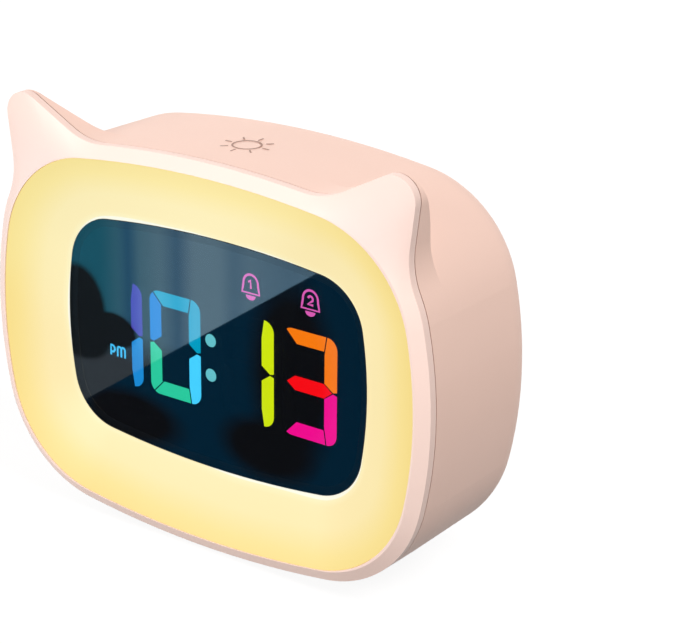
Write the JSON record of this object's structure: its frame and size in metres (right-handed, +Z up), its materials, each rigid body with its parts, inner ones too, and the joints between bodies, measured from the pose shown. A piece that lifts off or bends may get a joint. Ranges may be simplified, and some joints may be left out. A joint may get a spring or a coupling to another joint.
{
  "type": "alarm clock",
  "caption": "Bedside alarm clock with a barrel-shaped, cat-eared housing, a glowing ring round a dark segment display, a speaker, a battery bay and push buttons on the back.",
  "frame": {"origin": "centre of the footprint of the outline, on the plane the feet stand on", "axes": "+X to the right seen from the front, +Y from the dial towards the back, +Z up"},
  "size_m": [0.151, 0.0548, 0.1212],
  "materials": {
    "blush_plastic": "satin moulded plastic",
    "grey_rubber": "matte",
    "milky_light": "milky light guide",
    "dark_lens": "polished",
    "white_plastic": "satin",
    "black_plastic": "satin",
    "green_board": "solder mask",
    "led_package": "clear",
    "segment_blue": "translucent",
    "segment_teal": "translucent",
    "segment_yellow": "translucent",
    "segment_red": "translucent",
    "aluminium_can": "satin",
    "tinned_steel": "bright tin",
    "zinc_steel": "zinc plated",
    "grey_ribbon": "satin",
    "copper_foil": "copper foil",
    "black_wire": "satin",
    "red_wire": "satin",
    "black_foam": "matte",
    "paper_cone": "pressed paper",
    "ferrite": "matte",
    "cell_jacket": "shrink sleeve"
  },
  "bodies": {
    "clock": {"front_frame": "blush_plastic", "rear_shell": "blush_plastic", "rubber_feet": "grey_rubber", "battery_door": "blush_plastic", "light_ring": "milky_light", "display_lens": "dark_lens", "light_chamber": "white_plastic", "front_board": "green_board", "night_light_leds": "led_package", "digit_reflector": "black_plastic", "digit_1": "segment_blue", "digit_2": "segment_teal", "colon_dots": "segment_teal", "digit_3": "segment_yellow", "digit_4": "segment_red", "sign_windows": "segment_red", "segment_leds": "led_package", "main_board": "green_board", "main_chips": "black_plastic", "capacitors": "aluminium_can", "tact_switches": "tinned_steel", "power_socket": "tinned_steel", "board_connectors": "white_plastic", "ribbon_cable": "grey_ribbon", "touch_pad": "copper_foil", "touch_lead": "black_wire", "speaker_lead": "red_wire", "battery_lead": "red_wire", "speaker_gasket": "black_foam", "speaker_basket": "zinc_steel", "speaker_cone": "paper_cone", "speaker_magnet": "ferrite", "battery_cell_1": "cell_jacket", "battery_cell_2": "cell_jacket", "battery_cell_3": "cell_jacket", "battery_contacts": "tinned_steel", "battery_springs": "tinned_steel", "case_screws": "zinc_steel", "module_screws": "zinc_steel", "board_screws": "zinc_steel", "speaker_screws": "zinc_steel", "door_screw": "zinc_steel"},
    "key_time": {"button_time": "white_plastic"},
    "key_alarm_1": {"button_alarm_1": "white_plastic"},
    "key_alarm_2": {"button_alarm_2": "white_plastic"},
    "key_light": {"button_light": "white_plastic"},
    "key_minus": {"button_minus": "white_plastic"},
    "key_plus": {"button_plus": "white_plastic"}
  },
  "joints": [
    {"name": "press_time", "type": "slide", "parent": "clock", "child": "key_time", "axis": [0, -1, 0], "range_m": [0, 0.0006], "stiffness_N_per_m": 1500},
    {"name": "press_alarm_1", "type": "slide", "parent": "clock", "child": "key_alarm_1", "axis": [0, -1, 0], "range_m": [0, 0.0006], "stiffness_N_per_m": 1500},
    {"name": "press_alarm_2", "type": "slide", "parent": "clock", "child": "key_alarm_2", "axis": [0, -1, 0], "range_m": [0, 0.0006], "stiffness_N_per_m": 1500},
    {"name": "press_light", "type": "slide", "parent": "clock", "child": "key_light", "axis": [0, -1, 0], "range_m": [0, 0.0006], "stiffness_N_per_m": 1500},
    {"name": "press_minus", "type": "slide", "parent": "clock", "child": "key_minus", "axis": [0, -1, 0], "range_m": [0, 0.0006], "stiffness_N_per_m": 1500},
    {"name": "press_plus", "type": "slide", "parent": "clock", "child": "key_plus", "axis": [0, -1, 0], "range_m": [0, 0.0006], "stiffness_N_per_m": 1500}
  ]
}
